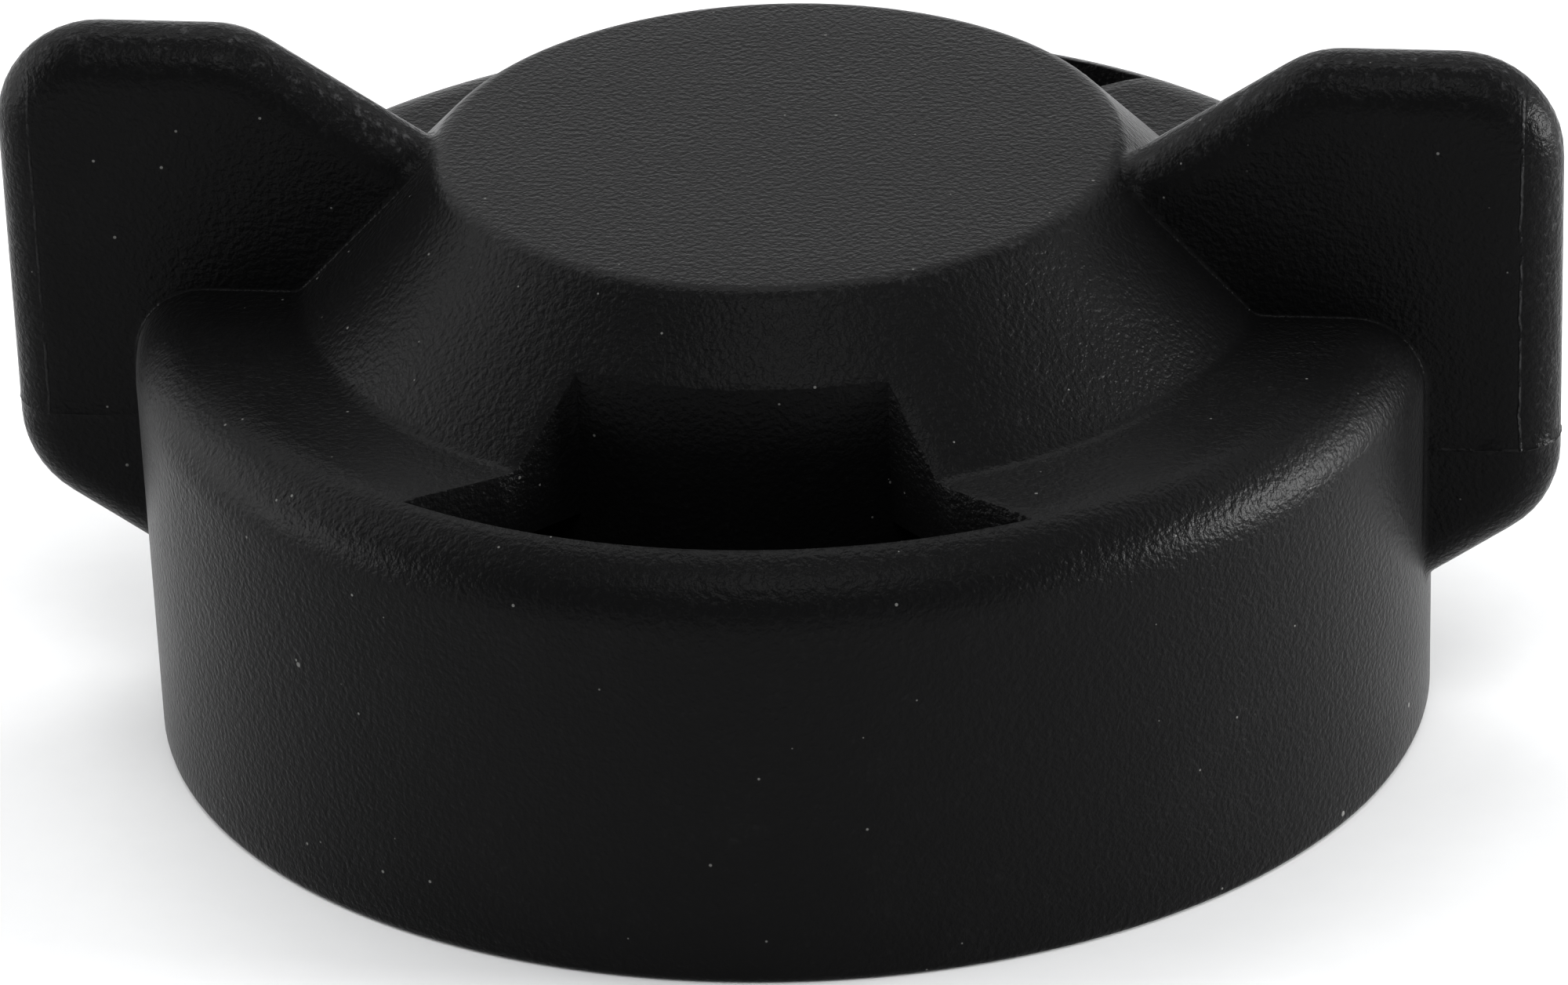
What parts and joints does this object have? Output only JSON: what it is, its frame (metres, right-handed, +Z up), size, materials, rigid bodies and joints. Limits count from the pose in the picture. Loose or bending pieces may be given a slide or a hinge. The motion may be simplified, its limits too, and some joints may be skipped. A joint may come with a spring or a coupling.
{
  "type": "bayonet wing nut",
  "caption": "Moulded quarter-turn blanking cap with finger wings, a closed conical boss, floor windows over inner bayonet lugs, and a snap-in rubber seat gasket.",
  "frame": {"origin": "centre of the skirt's flat bottom rim, on the turning axis", "axes": "+Z up the turning axis towards the closed disc, +X along the wings"},
  "size_m": [0.0386, 0.032, 0.0178],
  "materials": {
    "cap_plastic": "black moulded plastic with a fine spark-eroded grain and a soft sheen",
    "gasket_rubber": "matt black moulded rubber"
  },
  "bodies": {
    "cap": {"winged_cap": "cap_plastic"},
    "gasket": {"seat_gasket": "gasket_rubber"}
  },
  "joints": [
    {"name": "gasket_turn", "type": "hinge", "parent": "cap", "child": "gasket", "pos_m": [0, 0, 0.0105], "axis": [0, 0, 1], "continuous": true}
  ]
}
